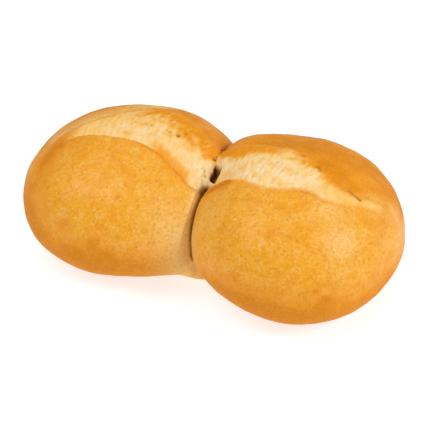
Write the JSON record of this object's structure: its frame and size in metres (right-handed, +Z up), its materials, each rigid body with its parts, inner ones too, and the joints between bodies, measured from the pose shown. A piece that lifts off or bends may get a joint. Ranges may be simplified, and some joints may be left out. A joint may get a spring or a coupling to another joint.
{
  "type": "double bread roll",
  "caption": "Double bread roll: a pair of dough rounds baked side by side in one piece, with a knife cut along the crown, a crease between the rounds and a flat base.",
  "frame": {"origin": "under the middle of the roll's bounding box, on the surface the roll rests on", "axes": "+X along the pair, from the lower round to the taller one; +Y towards the back, away from the cut's lip; +Z up, out of the flat base"},
  "size_m": [0.151, 0.0856, 0.0544],
  "materials": {
    "crust": "golden brown baked crust, matt with a soft sheen, fine blisters, pale cream crumb along the open knife cut"
  },
  "bodies": {
    "root": {"double_roll": "crust"}
  },
  "joints": []
}
